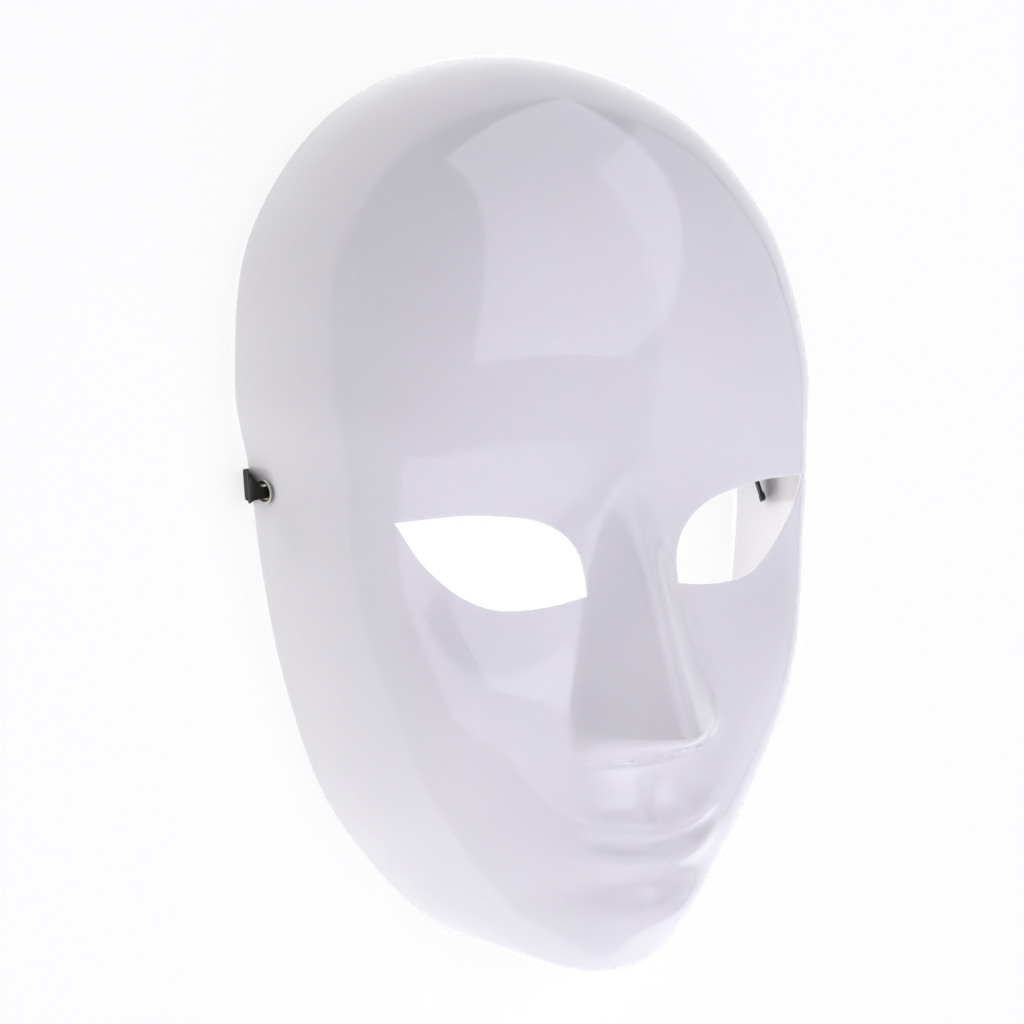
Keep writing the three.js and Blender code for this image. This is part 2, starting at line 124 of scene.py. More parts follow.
# The cuts in the net: steps along each outline, how near a point of the net is moved onto it, how
# far in front and behind and how far beside each cut looks, how near its end no edge is split, and
# the decimals by which two crossings of an edge differ
EYE_STEPS, SLIT_STEPS, HOLE_STEPS = 12, 9, 48
EYE_SNAP, SLIT_SNAP, HOLE_SNAP = 0.18, 0.06, 0.15
FLAT_DEPTH, SIDE_DEPTH, CUT_MARGIN = 1.0, 6.0, 3.0
END_SHARE, SHARE_DIGITS = 0.03, 6
# The plane of the net while it is flat: its two directions and its origin
FLAT_PLANE = ((1, 0, 0), (0, 1, 0), (0, 0, 0))
# The rounding of the trimmed edges: its steps, and the angle from which an edge is rounded
EDGE_STEPS, EDGE_ANGLE = 2, math.radians(75)

# Where the left eyelet goes through the side, and how closely its seat is looked for
EYELET_X, EYELET_Y, EYELET_HEIGHT = 83.6, 12.6, 8.7
SEAT_FROM, SEAT_HALVINGS, SEAT_STEP = 0.9, 30, 0.0005
# The gaps from flange to sheet and from barrel to hole
FLANGE_GAP, HOLE_GAP = 0.42, 0.3
# Shares of the flange's thickness: its straight edge, its round top, and the step in at its foot
ROLL_EDGE, ROLL_TOP, ROLL_FOOT = 0.35, 0.65, 0.1
ROLL_STEPS = 11

# The left half of the band: points of its middle line, the way its width lies, width and thickness.
# LIE is the height of that line on the table, and IN_BORE is how far outwards from the eyelet's seat
# the points in the bore are.
FLAT, GATHERED, SPREADING, SEALED = (8.0, 0.9), (3.0, 1.6), (5.5, 1.3), (7.4, 1.5)
TAIL_ACROSS = (0.61, -0.07, -0.79)
LEVEL_ACROSS = (0.0, -1.0, 0.0)
LIE = 0.6
# Its section: sides, and the powers that square a circle across and through the band
BAND_SIDES, SQUARE_ACROSS, SQUARE_THROUGH = 28, 0.2, 0.5
TAIL_MARKS = [
    ((77.6, -4.4, 17.7), TAIL_ACROSS, SEALED),
    ((77.5, -3.2, 17.3), TAIL_ACROSS, SEALED),
    ((77.4, -2.4, 17.0), TAIL_ACROSS, FLAT),
    ((77.2, 1.5, 15.7), TAIL_ACROSS, FLAT),
    ((77.1, 5.8, 13.6), TAIL_ACROSS, FLAT),
    ((77.9, 10.0, 10.9), (0.7, -0.6, -0.4), SPREADING),
]
IN_BORE = (-3.6, -1.6, 1.7)
SIDE_MARKS = [
    ((86.4, 13.0, 7.6), LEVEL_ACROSS, SPREADING),
    ((86.4, 13.6, 5.7), LEVEL_ACROSS, FLAT),
    ((85.6, 14.2, 4.0), LEVEL_ACROSS, FLAT),
    ((85.2, 14.5, 2.4), LEVEL_ACROSS, FLAT),
    ((84.8, 14.5, 1.3), LEVEL_ACROSS, FLAT),
    ((84.0, 14.5, LIE), LEVEL_ACROSS, FLAT),
    ((81.5, 14.5, LIE), LEVEL_ACROSS, FLAT),
]
LOOP_MARKS = [
    ((74, 15.5, LIE), (-0.2, -1, 0), FLAT),
    ((64, 21.5, LIE), (-0.7, -0.7, 0), FLAT),
    ((55.5, 35, LIE), (-0.9, -0.5, 0), FLAT),
    ((44.5, 52, LIE), (-0.75, -0.65, 0), FLAT),
    ((26, 66.5, LIE), (-0.45, -0.9, 0), FLAT),
    ((0, 72, LIE), LEVEL_ACROSS, FLAT),
]


# Sizes and colours that may be changed

class MaskSheetSizes(bpy.types.PropertyGroup):
    """The formed sheet"""
    wall: FloatProperty(name="Wall", description="Thickness of the sheet", default=0.001, unit="LENGTH")
    edge_round: FloatProperty(
        name="Edge Rounding", description="Radius along the trimmed edges", default=0.00012, unit="LENGTH")
    slit_length: FloatProperty(
        name="Nostril Length", description="Length of a nostril slit", default=0.0064, unit="LENGTH")
    slit_width: FloatProperty(
        name="Nostril Width", description="Width of a nostril slit", default=0.0008, unit="LENGTH")
    rays: IntProperty(name="Rays", description="Columns of the net round the hub", default=320, min=80)
    face_rings: IntProperty(name="Face Rings", description="Rings of the net on the face", default=96)
    edge_rings: IntProperty(name="Edge Rings", description="Rings where the side turns down", default=30)
    colour: FloatVectorProperty(
        name="Plastic", description="Colour of the sheet", subtype="COLOR", default=(0.772, 0.766, 0.786))


class MaskEyeletSizes(bpy.types.PropertyGroup):
    """The rolled eyelets"""
    bore: FloatProperty(name="Bore", description="Radius of the hole", default=0.00205, unit="LENGTH")
    barrel: FloatProperty(name="Barrel", description="Radius of the barrel", default=0.00245, unit="LENGTH")
    flange: FloatProperty(name="Flange", description="Radius of the flange", default=0.0032, unit="LENGTH")
    roll: FloatProperty(name="Roll", description="Thickness of the flange", default=0.0005, unit="LENGTH")
    sides: IntProperty(name="Sides", description="Steps round the eyelet", default=56, min=12)
    colour: FloatVectorProperty(
        name="Nickel", description="Colour of the plating", subtype="COLOR", default=(0.60, 0.585, 0.56))


class MaskBandSizes(bpy.types.PropertyGroup):
    """The elastic band"""
    width: FloatProperty(name="Width", description="Width of the flat band", default=0.008, unit="LENGTH")
    rib: FloatProperty(
        name="Rib Pitch", description="Distance between lengthwise ribs", default=0.00072, unit="LENGTH")
    pick: FloatProperty(
        name="Pick Pitch", description="Distance between crosswise threads", default=0.00055, unit="LENGTH")
    steps: IntProperty(name="Steps", description="Steps from mark to mark", default=10, min=2)
    colour: FloatVectorProperty(
        name="Elastic", description="Colour of the yarn", subtype="COLOR", default=(0.009, 0.0093, 0.0078))


class MaskStageSizes(bpy.types.PropertyGroup):
    """The table and the lights"""
    floor: FloatProperty(name="Table", description="Side of the table top", default=12.0, unit="LENGTH")
    colour: FloatVectorProperty(
        name="Table Colour", description="Colour of the table", subtype="COLOR", default=(0.2, 0.2, 0.2))
    glow: FloatProperty(name="Table Light", description="Light that the table gives off", default=0.98)
    seen: FloatProperty(name="Table Brightness", description="The table's own light as seen", default=0.8)
    surround: FloatProperty(name="Surround", description="Light from all round", default=0.1)
    mirrored: FloatProperty(name="Mirrored Room", description="The room as seen in gloss", default=0.4)
    background: FloatProperty(name="Background", description="What is seen past the table", default=0.92)


# The soft lights, in metres: whether each one lights the pieces, and whether it is mirrored in gloss

Light = namedtuple("Light", "name near_edge far_edge across width radiance tint lights mirrored")
COOL, WHITE = (0.905, 0.89, 1.0), (1.0, 1.0, 0.975)
FOREHEAD_PLACE = ((0.668, -0.131, 1.286), (0.197, 0.754, 0.17), (0.816, -0.232, -0.529), 0.6)
FAR_PLACE = ((1.5, 0.3, 0.1), (1.5, 0.3, 1.6), (0, 1, 0), 2.0)
LIGHTS = (
    Light("forehead_panel", *FOREHEAD_PLACE, 1.45, COOL, False, True),
    Light("forehead_fill", *FOREHEAD_PLACE, 0.7, COOL, True, False),
    Light("cheek_panel", (-0.011, -0.13, 0.2), (-0.005, -0.027, 0.2), (0.998, -0.06, 0), 0.21,
          1.1, COOL, False, True),
    Light("far_panel", *FAR_PLACE, 0.9, COOL, False, True),
    Light("far_fill", *FAR_PLACE, 0.36, COOL, True, False),
    Light("high_fill", (0.667, 0.385, 1.489), (-0.186, -0.107, 1.663), (-0.5, 0.87, 0), 1.0,
          3.55, COOL, True, False),
    Light("low_fill", (0, -1.686, 0.28), (0, -1.086, 1.32), (1, 0, 0), 1.6, 2.4, COOL, True, False),
    Light("side_fill", (-1.704, 0, 0.132), (-1.196, 0, 1.22), (0, -1, 0), 1.6, 0.65, WHITE, True, False),
    Light("camera_fill", (-1.3, 0.07, 0.95), (-0.7, 0.07, 1.5), (0, -1, 0), 1.0, 0.32, COOL, True, False),
    Light("inside_fill", (0, 0.07, 0.003), (0, -0.06, 0.003), (1, 0, 0), 0.09, 0.9, WHITE, True, False),
)


# Smooth lines

def hermite(start, end, leaving, arriving, shares):
    """The smooth piece between two points with its two slopes, at each share"""
    t = np.asarray(shares)[:, None]
    bend = 3 * (end - start) - 2 * leaving - arriving
    turn = 2 * (start - end) + leaving + arriving
    return start + leaving * t + bend * t ** 2 + turn * t ** 3


def even_line(marks, closed, steps):
    """An evenly paced smooth line through the marks, with the same number of steps from mark to mark"""
    marks = np.asarray(marks, float)
    shares = np.arange(steps) / steps
    count = len(marks)
    pieces = []
    for i in range(count if closed else count - 1):
        before = marks[i - 1] if closed or i else marks[0]
        after = marks[(i + 2) % count] if closed else marks[min(i + 2, count - 1)]
        start, end = marks[i], marks[(i + 1) % count]
        pieces.append(hermite(start, end, (end - before) / 2, (after - start) / 2, shares))
    if not closed:
        pieces.append(marks[-1:])
    return np.vstack(pieces)


def drawn_line(marks, steps):
    """An open smooth line whose pace follows the distance from mark to mark"""
    marks = np.asarray(marks, float)
    marks = np.vstack([2 * marks[0] - marks[1], marks, 2 * marks[-1] - marks[-2]])
    paces = np.sqrt(np.linalg.norm(np.diff(marks, axis=0), axis=1))
    shares = np.arange(steps) / steps
    pieces = []
    for i in range(1, len(marks) - 2):
        a, b, c, d = marks[i - 1:i + 3]
        p, q, r = paces[i - 1:i + 2]
        leaving = ((b - a) / p - (c - a) / (p + q) + (c - b) / q) * q
        arriving = ((c - b) / q - (d - b) / (q + r) + (d - c) / r) * q
        pieces.append(hermite(b, c, leaving, arriving, shares))
    return np.vstack([*pieces, marks[-2:-1]])


def spaced(line, count):
    """Points evenly spaced along a line"""
    reach = np.r_[0, np.cumsum(np.linalg.norm(np.diff(line, axis=0), axis=1))]
    wanted = np.linspace(0, reach[-1], count)
    return np.stack([np.interp(wanted, reach, column) for column in line.T], axis=1)


def mirrored(marks):
    return [(-x, y, z) for x, y, z in marks]


# The form of the face, all in millimetres

def soft_step(value):
    t = np.clip(value, 0, 1)
    return t * t * (3 - 2 * t)


def bell(distance, width):
    return np.exp(-0.5 * (distance / width) ** 2)


def swelling(x, y, form):
    rise, centre_x, centre_y, width, length = form
    return rise * bell(np.abs(x) - centre_x, width) * bell(y - centre_y, length)


def rim_line(steps=60):
    line = even_line(RIM_MARKS + mirrored(RIM_MARKS[-2:0:-1]), True, steps)
    line = np.vstack([line, line[:1]])
    line[:, 2] = np.maximum(line[:, 2], 0)
    return line


RIM = rim_line()
HALF_RIM = RIM[:len(RIM) // 2 + 1]
HALF_BEARINGS = np.arctan2(np.abs(HALF_RIM[:, 0]), HALF_RIM[:, 1])


def nose_height(x, y):
    out = np.abs(x)
    sideways = np.clip(out / NOSE_BASE_HALF, 0, 1) ** 2
    edge_y = NOSE_TIP_Y + NOSE_TIP_ROUND + NOSE_SIDE_RISE * sideways
    base_y = NOSE_BASE_Y + NOSE_BASE_RISE * sideways
    down = np.maximum((NOSE_BRIDGE_Y - y) / (NOSE_BRIDGE_Y - NOSE_TIP_Y), 0)
    bridge = NOSE_BRIDGE_SHARE * soft_step(down / NOSE_BRIDGE_LENGTH)
    ridge = NOSE_HEIGHT * (bridge + (1 - NOSE_BRIDGE_SHARE) * down ** NOSE_GROWTH)
    turn = np.clip((edge_y - y) / (edge_y - base_y), 0, 1)
    underside = 1 - turn ** 2 * (NOSE_TURN + (4 - 2 * NOSE_TURN) * turn + (NOSE_TURN - 3) * turn ** 2)
    half = NOSE_BRIDGE_HALF + (NOSE_BASE_HALF - NOSE_BRIDGE_HALF) * down ** NOSE_SPREAD
    full = math.hypot(1, NOSE_RIDGE)
    flank = (full - np.hypot(out / half, NOSE_RIDGE)) / (full - NOSE_RIDGE)
    section = (flank + np.hypot(flank, NOSE_FOOT)) / 2
    return (ridge * section + swelling(x, y, WING)) * underside


def lip_height(x, y):
    out = np.abs(x) / LIP_HALF
    line = LIP_LINE_Y + LIP_CORNER_RISE * np.clip(out, 0, LIP_CORNER_LIMIT) ** 2
    fade = soft_step((LIP_FADE_END - out) / LIP_FADE_LENGTH)
    folds = sum(rise * bell(y - line - offset, width)
                for rise, offset, width in (LIP_PARTING, LIP_UPPER, LIP_LOWER))
    above = soft_step((y - line - PHILTRUM_GAP) / PHILTRUM_BLEND)
    below = 1 - soft_step((y - PHILTRUM_TOP) / PHILTRUM_BLEND)
    return fade * folds - PHILTRUM_DEPTH * bell(x, PHILTRUM_WIDTH) * above * below


def face_height(x, y):
    height = FACE_HEIGHT + FOREHEAD_RISE * soft_step((y - FOREHEAD_FROM) / (FOREHEAD_TO - FOREHEAD_FROM))
    height = height - CHIN_DROP * soft_step((CHIN_DROP_FROM - y) / CHIN_DROP_LENGTH)
    for form in (EYE_HOLLOW, CHEEK, MOUTH, CHIN, CHIN_HOLLOW):
        height = height + swelling(x, y, form)
    upwards = soft_step((y - SIDE_TOP_FROM) / SIDE_TOP_LENGTH)
    downwards = soft_step((SIDE_MOUTH_FROM - y) / SIDE_MOUTH_LENGTH)
    fall = SIDE_FALL_EYE + (SIDE_FALL_TOP - SIDE_FALL_EYE) * upwards
    fall = fall + (SIDE_FALL_MOUTH - SIDE_FALL_EYE) * downwards
    return height + nose_height(x, y) + lip_height(x, y) - fall * (x / SIDE_REACH) ** 2


def rim_towards(x, y):
    """The rim point in the same direction from the middle as each (x, y)"""
    bearing = np.arctan2(np.abs(x), y)
    found = np.stack([np.interp(bearing, HALF_BEARINGS, column) for column in HALF_RIM.T], axis=-1)
    found[..., 0] = np.where(x < 0, -found[..., 0], found[..., 0])
    return found


def sheet_height(x, y):
    """The height of the outer surface over (x, y): the face, turned down to the rim all round"""
    distance = np.maximum(np.hypot(x, y), TINY)
    rim = rim_towards(x, y)
    share = np.minimum(distance / np.hypot(rim[..., 0], rim[..., 1]), 1)
    upright = y / distance
    power = TURN_SIDE + (TURN_TOP - TURN_SIDE) * np.clip(upright, 0, 1) ** 2
    power = power + (TURN_CHIN - TURN_SIDE) * np.clip(-upright, 0, 1) ** 2
    risen = np.sqrt(1 - share ** power)
    return rim[..., 2] + (face_height(x, y) - rim[..., 2]) * risen


def eyelet_seat():
    """The middle of the left eyelet on the outer surface, and the way that the surface faces there"""
    def at(y, share):
        rim = rim_towards(np.array(EYELET_X), np.array(y))
        x, y = rim[0] * share, rim[1] * share
        return np.array([x, y, sheet_height(x, y)])

    high, low = SEAT_FROM, 1.0
    for _ in range(SEAT_HALVINGS):
        middle = (high + low) / 2
        if at(EYELET_Y, middle)[2] > EYELET_HEIGHT:
            high = middle
        else:
            low = middle
    point = at(EYELET_Y, low)
    normal = np.cross(at(EYELET_Y + 1, low) - point, at(EYELET_Y, low - SEAT_STEP) - point)
    return point, normal / np.linalg.norm(normal)


SEAT_POINT, SEAT_NORMAL = eyelet_seat()


def seat(side):
    """The seat of the left eyelet (side 1) or the right one (side -1)"""
    return Vector(SEAT_POINT * (side, 1, 1)), Vector(SEAT_NORMAL * (side, 1, 1))


# Nets and pieces

def spin_round(bm, verts, edges, steps):
    """Turns a line of vertices and edges once round the upright axis"""
    bmesh.ops.spin(
        bm, geom=verts + edges, cent=(0, 0, 0), axis=(0, 0, 1), dvec=(0, 0, 0),
        angle=math.tau, steps=steps, use_merge=True, use_duplicate=False)
    bmesh.ops.remove_doubles(bm, verts=bm.verts, dist=SAME_PLACE)


def finish_piece(name, bm, material, node):
    """Makes the piece's object, in the place of its CAD node"""
    for face in bm.faces:
        face.smooth = True
    mesh = bpy.data.meshes.new(name)
    bm.to_mesh(mesh)
    bm.free()
    mesh.materials.append(material)
    piece = bpy.data.objects.new(name, mesh)
    bpy.context.scene.collection.objects.link(piece)
    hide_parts(node)
    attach(piece, "root")
    return piece


def within(points, outline):
    """Which of the points lie inside the closed outline"""
    x, y = points[:, :1], points[:, 1:]
    (ax, ay), (bx, by) = outline.T, np.roll(outline, -1, axis=0).T
    spans = (ay > y) != (by > y)
    with np.errstate(divide="ignore", invalid="ignore"):
        crossing = ax + (y - ay) * (bx - ax) / (by - ay)
    return (spans & (x < crossing)).sum(axis=1) % 2 == 1


def nearest_on(points, outline):
    """The nearest place on the closed outline to each point"""
    starts, steps = outline, np.roll(outline, -1, axis=0) - outline
    away = points[:, None] - starts[None]
    shares = np.clip((away * steps).sum(-1) / (steps ** 2).sum(-1), 0, 1)
    places = starts + shares[..., None] * steps
    best = np.linalg.norm(points[:, None] - places, axis=-1).argmin(axis=1)
    return places[np.arange(len(points)), best]


def crossing_shares(a, b, outline):
    """How far along the way from a to b the outline is crossed, each time"""
    starts, steps = outline, np.roll(outline, -1, axis=0) - outline
    way = b - a
    area = way[0] * steps[:, 1] - way[1] * steps[:, 0]
    area = np.where(np.abs(area) < TINY, TINY, area)
    to = starts - a
    along = (to[:, 0] * steps[:, 1] - to[:, 1] * steps[:, 0]) / area
    beside = (to[:, 0] * way[1] - to[:, 1] * way[0]) / area
    return np.unique(along[(beside >= 0) & (beside <= 1)].round(SHARE_DIGITS))


def places_on(outline, places, snap, corners):
    """The places that the points to be moved onto the outline get there, by the point's index. They
    are all that lie nearer than snap, and the nearest one to each corner."""
    targets = nearest_on(places, outline)
    close = np.flatnonzero(np.linalg.norm(places - targets, axis=1) < snap)
    wanted = {index: targets[index] for index in close}
    for corner in corners:
        wanted[np.linalg.norm(places - corner, axis=1).argmin()] = corner
    return wanted


def split_edges(at, on_line, outline):
    """Splits the edges wherever the outline crosses them, and gives the new points. at gives each
    point's place on the plane of the outline, and on_line holds those that lie on it already."""
    edges = {edge for vert in at for edge in vert.link_edges if all(end in at for end in edge.verts)}
    made = set()
    for edge in sorted(edges, key=lambda edge: edge.index):
        start, end = edge.verts
        low_share = END_SHARE if start in on_line else 0.0
        high_share = 1 - END_SHARE if end in on_line else 1.0
        shares = [s for s in crossing_shares(at[start], at[end], outline) if low_share < s < high_share]
        done = 0.0
        for share in shares:
            new = bmesh.utils.edge_split(edge, start, (share - done) / (1 - done))[1]
            made.add(new)
            edge = next(part for part in new.link_edges if end in part.verts)
            start, done = new, share
    return made


def cut_hole(bm, outline, right, up, origin, depth, snap, corners=()):
    """Cuts a hole with the given outline through the net, straight along the third direction.
    right and up are the outline's own directions, and depth is how far from origin it cuts."""
    right, up, origin = Vector(right), Vector(up), Vector(origin)
    through = right.cross(up)
    low, high = outline.min(axis=0) - CUT_MARGIN, outline.max(axis=0) + CUT_MARGIN

    def flat(vert):
        away = vert.co - origin
        return np.array([away.dot(right), away.dot(up)])

    def is_near(vert):
        place = flat(vert)
        beside = (low < place).all() and (place < high).all()
        return beside and abs((vert.co - origin).dot(through)) < depth

    near = [vert for vert in bm.verts if is_near(vert)]
    places = np.array([flat(vert) for vert in near])
    wanted = places_on(outline, places, snap, corners)
    for index, place in wanted.items():
        step = place - places[index]
        near[index].co += right * step[0] + up * step[1]
        places[index] = place
    on_line = {near[index] for index in wanted}
    on_line |= split_edges(dict(zip(near, places)), on_line, outline)
    bmesh.ops.connect_verts(bm, verts=[vert for vert in bm.verts if vert in on_line])

    around = {face for vert in [*near, *on_line] for face in vert.link_faces}
    around = [face for face in bm.faces if face in around]
    middles = np.array([np.mean([flat(vert) for vert in face.verts], axis=0) for face in around])
    gone = [face for face, inside in zip(around, within(middles, outline)) if inside]
    bmesh.ops.delete(bm, geom=gone, context="FACES")
    bmesh.ops.triangulate(bm, faces=[face for face in bm.faces if len(face.verts) > 4])
    bm.edges.index_update()


# Finishes

def node_tree(name):
    material = bpy.data.materials.new(name)
    material.use_nodes = True
    tree = material.node_tree
    tree.nodes.clear()
    shader = tree.nodes.new("ShaderNodeBsdfPrincipled")
    output = tree.nodes.new("ShaderNodeOutputMaterial")
    tree.links.new(shader.outputs["BSDF"], output.inputs["Surface"])
    return material, tree, shader


def set_inputs(tree, node, inputs):
    """Gives a node its inputs, as values or as the sockets they come from"""
    for key, value in inputs.items():
        if isinstance(value, bpy.types.NodeSocket):
            tree.links.new(value, node.inputs[key])
        else:
            node.inputs[key].default_value = value


def add_node(tree, kind, inputs=None, **settings):
    node = tree.nodes.new(kind)
    for name, value in settings.items():
        setattr(node, name, value)
    set_inputs(tree, node, inputs or {})
    return node


def math_node(tree, operation, first, second=0.0, third=0.0):
    inputs = {0: first, 1: second, 2: third}
    return add_node(tree, "ShaderNodeMath", inputs, operation=operation).outputs[0]


def colour_mix(tree, factor, first, second):
    inputs = {"Factor": factor, "A": first, "B": second}
    return add_node(tree, "ShaderNodeMix", inputs, data_type="RGBA").outputs["Result"]


def bump_node(tree, height, strength, distance):
    inputs = {"Strength": strength, "Distance": distance, "Height": height}
    return add_node(tree, "ShaderNodeBump", inputs).outputs["Normal"]


def opaque(colour, tint=(1, 1, 1)):
    """The colour with each channel times its tint, as a colour input takes it"""
    return (*(value * share for value, share in zip(colour, tint)), 1.0)


def handling_marks():
    """The group of small marks that handled things have: soft haze, fine dust and low waviness"""
    wave_share, speck_radius = 0.7, 0.09
    group = bpy.data.node_groups.new("handling_marks", "ShaderNodeTree")
    for name, kind in (("Place", "NodeSocketVector"), ("Haze Size", "NodeSocketFloat"),
                       ("Dust Size", "NodeSocketFloat"), ("Dust Share", "NodeSocketFloat")):
        group.interface.new_socket(name, in_out="INPUT", socket_type=kind)
    for name in ("Haze", "Dust", "Wave"):
        group.interface.new_socket(name, in_out="OUTPUT", socket_type="NodeSocketFloat")
    given = group.nodes.new("NodeGroupInput").outputs
    haze = add_node(group, "ShaderNodeTexNoise", {
        "Vector": given["Place"], "Scale": given["Haze Size"], "Detail": 4.0, "Roughness": 0.55})
    wave_size = math_node(group, "MULTIPLY", given["Haze Size"], wave_share)
    wave = add_node(group, "ShaderNodeTexNoise", {
        "Vector": given["Place"], "Scale": wave_size, "Detail": 1.0})
    dust = add_node(group, "ShaderNodeTexVoronoi", {
        "Vector": given["Place"], "Scale": given["Dust Size"], "Randomness": 1.0})
    picked = math_node(group, "LESS_THAN", dust.outputs["Color"], given["Dust Share"])
    near = math_node(group, "LESS_THAN", dust.outputs["Distance"], speck_radius)
    out = group.nodes.new("NodeGroupOutput").inputs
    group.links.new(haze.outputs["Fac"], out["Haze"])
    group.links.new(math_node(group, "MULTIPLY", picked, near), out["Dust"])
    group.links.new(wave.outputs["Fac"], out["Wave"])
    return group


def marks_on(tree, haze_size, dust_size, dust_share):
    place = add_node(tree, "ShaderNodeTexCoord").outputs["Object"]
    inputs = {"Place": place, "Haze Size": haze_size, "Dust Size": dust_size, "Dust Share": dust_share}
    group = bpy.data.node_groups["handling_marks"]
    return add_node(tree, "ShaderNodeGroup", inputs, node_tree=group).outputs


def plastic_finish(colour):
    haze_tint, haze_roughness, clean_roughness = (0.985, 0.975, 0.965), 0.08, 0.20
    dust_colour, dust_cover = (0.35, 0.34, 0.34), 0.5
    material, tree, shader = node_tree("glossy_plastic")
    marks = marks_on(tree, haze_size=26.0, dust_size=260.0, dust_share=0.012)
    dust = math_node(tree, "MULTIPLY", marks["Dust"], dust_cover)
    toned = colour_mix(tree, marks["Haze"], opaque(colour), opaque(colour, haze_tint))
    rough = math_node(tree, "MULTIPLY_ADD", marks["Haze"], haze_roughness, clean_roughness)
    set_inputs(tree, shader, {
        "Base Color": colour_mix(tree, dust, toned, opaque(dust_colour)),
        "Roughness": math_node(tree, "ADD", rough, dust),
        "Normal": bump_node(tree, marks["Wave"], strength=0.2, distance=0.00012),
        "Specular IOR Level": 0.12,
        "Coat Weight": 1.0,
        "Coat Roughness": 0.06,
        "Subsurface Weight": 1.0,
        "Subsurface Radius": (0.0012, 0.0012, 0.0013),
        "Subsurface Scale": 1.0,
    })
    return material


def nickel_finish(colour):
    haze_tint, haze_roughness, clean_roughness = (0.72, 0.70, 0.66), 0.3, 0.14
    material, tree, shader = node_tree("nickel_plate")
    marks = marks_on(tree, haze_size=700.0, dust_size=2600.0, dust_share=0.04)
    set_inputs(tree, shader, {
        "Base Color": colour_mix(tree, marks["Haze"], opaque(colour), opaque(colour, haze_tint)),
        "Metallic": 1.0,
        "Roughness": math_node(tree, "MULTIPLY_ADD", marks["Haze"], haze_roughness, clean_roughness),
        "Normal": bump_node(tree, marks["Haze"], strength=0.3, distance=0.00003),
    })
    return material


def threads(tree, count):
    """Round ridges, one for each whole number that the count goes through"""
    turned = math_node(tree, "MULTIPLY", count, math.pi)
    return math_node(tree, "ABSOLUTE", math_node(tree, "SINE", turned))


def elastic_finish(colour, rib, pick):
    """Lengthwise ribs crossed by fine threads, on the band's own across and along. The raised tops of the
    threads are painted lighter than the hollows between them, as a painted highlight.
    """
    rib_share, pick_share, row_shift = 0.6, 0.4, 0.5
    fuzz_size, fuzz_height, fuzz_roughness, yarn_roughness = 2600.0, 0.25, 0.25, 0.5
    # Painted highlight: lit is a lighter copy of the yarn colour, painted on the raised tops of the threads
    # in place of light falling on them
    painted_highlight_gain, painted_highlight_lift, painted_highlight_power = 2, 0.002, 2.0
    material, tree, shader = node_tree("woven_elastic")
    place = add_node(tree, "ShaderNodeAttribute", attribute_name="weave").outputs["Vector"]
    parts = add_node(tree, "ShaderNodeSeparateXYZ", {"Vector": place}).outputs
    column = math_node(tree, "DIVIDE", parts["X"], rib)
    ribs = math_node(tree, "MULTIPLY", threads(tree, column), rib_share)
    shift = math_node(tree, "MULTIPLY", math_node(tree, "FLOOR", column), row_shift)
    row = math_node(tree, "ADD", math_node(tree, "DIVIDE", parts["Y"], pick), shift)
    height = math_node(tree, "MULTIPLY_ADD", threads(tree, row), pick_share, ribs)
    inputs = {"Vector": place, "Scale": fuzz_size, "Detail": 3.0}
    fuzz = add_node(tree, "ShaderNodeTexNoise", inputs).outputs["Fac"]
    fuzzy = math_node(tree, "MULTIPLY_ADD", fuzz, fuzz_height, height)
    # The base colour goes from the yarn colour to the painted highlight colour as the threads rise
    painted_highlight_share = math_node(tree, "POWER", height, painted_highlight_power)
    lit = [value * painted_highlight_gain + painted_highlight_lift for value in colour]
    set_inputs(tree, shader, {
        "Base Color": colour_mix(tree, painted_highlight_share, opaque(colour), opaque(lit)),
        "Roughness": math_node(tree, "MULTIPLY_ADD", fuzz, fuzz_roughness, yarn_roughness),
        "Normal": bump_node(tree, fuzzy, strength=0.8, distance=0.00012),
        "Specular IOR Level": 0.2,
        "Sheen Weight": 0.08,
        "Sheen Roughness": 0.4,
    })
    return material


def table_finish(colour, glow, seen):
    haze_tint = (0.985, 0.985, 0.985)
    material, tree, shader = node_tree("pale_table")
    marks = marks_on(tree, haze_size=3.0, dust_size=40.0, dust_share=0.0)
    camera_ray = add_node(tree, "ShaderNodeLightPath").outputs["Is Camera Ray"]
    set_inputs(tree, shader, {
        "Base Color": colour_mix(tree, marks["Haze"], opaque(colour), opaque(colour, haze_tint)),
        "Roughness": 0.75,
        "Emission Color": (1.0, 1.0, 1.0, 1.0),
        "Emission Strength": math_node(tree, "MULTIPLY_ADD", camera_ray, seen - glow, glow),
    })
    return material


# The operators, in the order that main() calls them

class MASK_OT_camera(bpy.types.Operator):
    """Sets up the camera and the finishes' shared group"""
    bl_idname = "mask.camera"
    bl_label = "Camera"

    def execute(self, context):
        handling_marks()
        swing, lift, roll = CAMERA_SWING, CAMERA_LIFT, CAMERA_ROLL
        away = Vector((-math.sin(swing) * math.cos(lift), math.sin(lift), math.cos(swing) * math.cos(lift)))
        level = Vector((math.cos(swing), 0, math.sin(swing)))
        upright = away.cross(level)
        right = math.cos(roll) * level - math.sin(roll) * upright
        up = math.sin(roll) * level + math.cos(roll) * upright
        data = bpy.data.cameras.new("camera")
        data.sensor_width = SENSOR_WIDTH
        data.lens = FOCAL_PIXELS * SENSOR_WIDTH / PHOTO_PIXELS
        data.clip_start, data.clip_end = CAMERA_NEAR * MM, CAMERA_FAR * MM
        camera = bpy.data.objects.new("camera", data)
        turn = Matrix((right, up, away)).transposed().to_4x4()
        place = (Vector(CAMERA_TARGET) + away * CAMERA_AWAY) * MM
        camera.matrix_world = Matrix.Translation(place) @ turn
        context.scene.collection.objects.link(camera)
        context.scene.camera = camera
        return {"FINISHED"}


